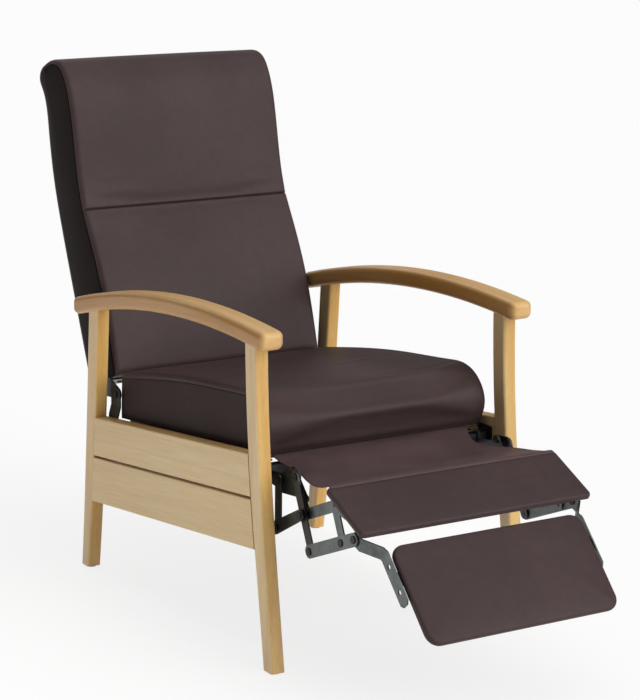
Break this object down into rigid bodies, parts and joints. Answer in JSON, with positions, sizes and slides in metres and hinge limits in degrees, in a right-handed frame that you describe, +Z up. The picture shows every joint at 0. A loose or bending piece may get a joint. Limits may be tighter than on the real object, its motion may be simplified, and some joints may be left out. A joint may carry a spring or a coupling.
{
  "type": "reclining relax armchair with two-pad footrest",
  "caption": "Upholstered relax armchair with an open beech frame, a tilting back and an extended footrest of two pads carried on a steel lever mechanism",
  "frame": {"origin": "on the floor under the middle of the bounding box, with the back upright and the footrest extended", "axes": "+X to the sitter's left, +Y rearwards (the sitter faces -Y), +Z up"},
  "size_m": [0.624, 1.4814, 1.0673],
  "materials": {
    "beech": "clear satin varnish",
    "frame_wood": "raw sawn",
    "pad_board": "board under black lining",
    "upholstery": "fine-grained leatherette, satin",
    "webbing": "woven",
    "black_steel": "black powder coat",
    "zinc_steel": "zinc plated",
    "fastener": "black zinc",
    "glide": "moulded"
  },
  "bodies": {
    "frame": {"front_leg_left": "beech", "front_leg_right": "beech", "rear_leg_left": "beech", "rear_leg_right": "beech", "armrest_left": "beech", "armrest_right": "beech", "upper_side_board_left": "beech", "upper_side_board_right": "beech", "lower_side_board_left": "beech", "lower_side_board_right": "beech", "frame_dowels": "frame_wood", "floor_glides": "glide", "front_cross_tube": "black_steel", "rear_cross_tube": "black_steel", "cross_tube_screws": "fastener", "mechanism_rail_left": "black_steel", "mechanism_rail_right": "black_steel", "rail_pins": "fastener", "seat_frame": "frame_wood", "seat_frame_screws": "fastener", "seat_webbing": "webbing", "seat_dust_cover": "webbing", "seat_cushion": "upholstery", "back_hinge_strap_left": "black_steel", "back_hinge_strap_right": "black_steel", "back_hinge_bolts": "fastener"},
    "backrest": {"back_frame": "frame_wood", "back_webbing": "webbing", "backrest_lower_cushion": "upholstery", "backrest_upper_cushion": "upholstery", "back_cover": "upholstery", "back_arm_left": "black_steel", "back_arm_right": "black_steel", "back_arm_screws": "fastener"},
    "swing_arms": {"swing_arm_left": "black_steel", "swing_arm_right": "black_steel", "swing_arm_pins": "fastener"},
    "upper_links": {"upper_link_left": "zinc_steel", "upper_link_right": "zinc_steel"},
    "lower_links": {"lower_link_left": "zinc_steel", "lower_link_right": "zinc_steel", "lower_link_pins": "fastener"},
    "control_links": {"control_links": "black_steel", "control_link_pins": "fastener"},
    "cranks": {"cranks": "black_steel", "crank_pins": "fastener"},
    "drive_links": {"drive_links": "black_steel"},
    "calf_rest": {"calf_bracket_left": "zinc_steel", "calf_bracket_right": "zinc_steel", "bracket_pins": "fastener", "calf_pad_board": "pad_board", "calf_pad": "upholstery", "calf_pad_screws": "fastener", "apron": "upholstery"},
    "foot_rest": {"flipper_arm_left": "zinc_steel", "flipper_arm_right": "zinc_steel", "foot_pad_board": "pad_board", "foot_pad": "upholstery", "foot_pad_screws": "fastener"}
  },
  "joints": [
    {"name": "back_recline", "type": "hinge", "parent": "frame", "child": "backrest", "pos_m": [0, 0.368, 0.396], "axis": [-1, 0, 0], "range_deg": [0, 25]},
    {"name": "footrest_fold", "type": "hinge", "parent": "frame", "child": "swing_arms", "pos_m": [0, -0.33, 0.382], "axis": [1, 0, 0], "range_deg": [0, 65]},
    {"name": "upper_link_pivot", "type": "hinge", "parent": "swing_arms", "child": "upper_links", "pos_m": [0, -0.35986, 0.31648], "axis": [1, 0, 0], "range_deg": [0, 55.01]},
    {"name": "lower_link_pivot", "type": "hinge", "parent": "swing_arms", "child": "lower_links", "pos_m": [0, -0.38889, 0.25278], "axis": [1, 0, 0], "range_deg": [0, 55.01]},
    {"name": "calf_rest_pivot", "type": "hinge", "parent": "upper_links", "child": "calf_rest", "pos_m": [0, -0.46864, 0.36221], "axis": [1, 0, 0], "range_deg": [-55.01, 0], "deforming": ["apron"]},
    {"name": "foot_rest_fold", "type": "hinge", "parent": "lower_links", "child": "foot_rest", "pos_m": [0, -0.54007, 0.31634], "axis": [1, 0, 0], "range_deg": [0, 99]},
    {"name": "control_link_pivot", "type": "hinge", "parent": "frame", "child": "control_links", "pos_m": [0, -0.3062, 0.3858], "axis": [1, 0, 0], "range_deg": [0, 37.31]},
    {"name": "crank_pivot", "type": "hinge", "parent": "frame", "child": "cranks", "pos_m": [0, -0.276, 0.364], "axis": [1, 0, 0], "range_deg": [0, 65.41]},
    {"name": "drive_link_pivot", "type": "hinge", "parent": "swing_arms", "child": "drive_links", "pos_m": [0, -0.35986, 0.31648], "axis": [1, 0, 0], "range_deg": [-37.71, 0]}
  ],
  "couplings": [
    {"joint": "upper_link_pivot", "follows": "footrest_fold", "ratio": 0.84615},
    {"joint": "lower_link_pivot", "follows": "footrest_fold", "ratio": 0.84615},
    {"joint": "calf_rest_pivot", "follows": "footrest_fold", "ratio": -0.84615},
    {"joint": "control_link_pivot", "follows": "footrest_fold", "ratio": 0.57385},
    {"joint": "crank_pivot", "follows": "footrest_fold", "ratio": 1.0062},
    {"joint": "drive_link_pivot", "follows": "footrest_fold", "ratio": -0.58}
  ]
}
